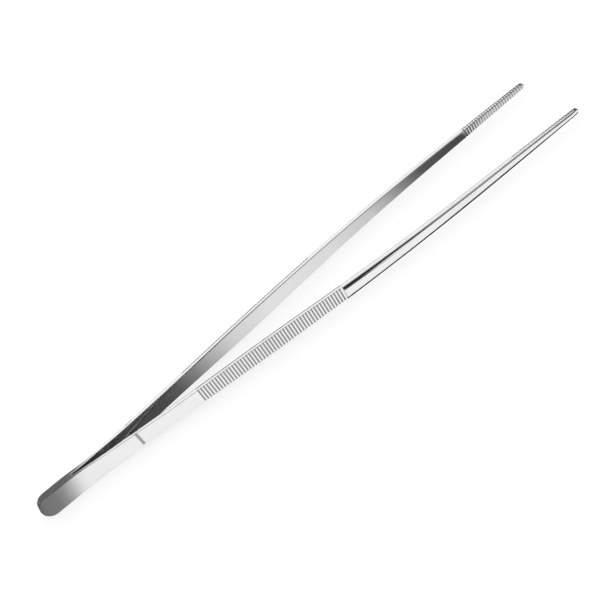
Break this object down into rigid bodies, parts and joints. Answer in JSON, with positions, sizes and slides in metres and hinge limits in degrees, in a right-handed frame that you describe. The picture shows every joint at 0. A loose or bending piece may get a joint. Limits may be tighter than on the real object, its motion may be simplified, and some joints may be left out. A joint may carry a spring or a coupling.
{
  "type": "aquascaping tweezers",
  "caption": "Long straight stainless tweezers with sprung arms welded at a rounded butt, ribbed grips, half-round jaws and serrated tips for planting in a tank.",
  "frame": {"origin": "centre of the length and of the spread, on the lower edge of the butt: the bottom centre of the bounding box with the tweezers lying on one side", "axes": "+X from the welded butt towards the tips, +Y across the spread towards the far arm, +Z along the width of the strips"},
  "size_m": [0.3, 0.0422, 0.0112],
  "materials": {
    "polished_steel": "mirror-polished stainless steel with a fine lengthwise grain",
    "weld_steel": "dull as-welded stainless steel"
  },
  "bodies": {
    "butt": {"near_arm_tang": "polished_steel", "far_arm_tang": "polished_steel", "weld_nugget_rear": "weld_steel", "weld_nugget_front": "weld_steel"},
    "near_arm": {"near_arm": "polished_steel"},
    "far_arm": {"far_arm": "polished_steel"}
  },
  "joints": [
    {"name": "near_arm_squeeze", "type": "hinge", "parent": "butt", "child": "near_arm", "pos_m": [-0.102, -0.00333, 0.0056], "axis": [0, 0, 1], "range_deg": [0, 4.15], "stiffness_Nm_per_rad": 15},
    {"name": "far_arm_squeeze", "type": "hinge", "parent": "butt", "child": "far_arm", "pos_m": [-0.102, 0.00333, 0.0056], "axis": [0, 0, -1], "range_deg": [0, 4.15], "stiffness_Nm_per_rad": 15}
  ]
}
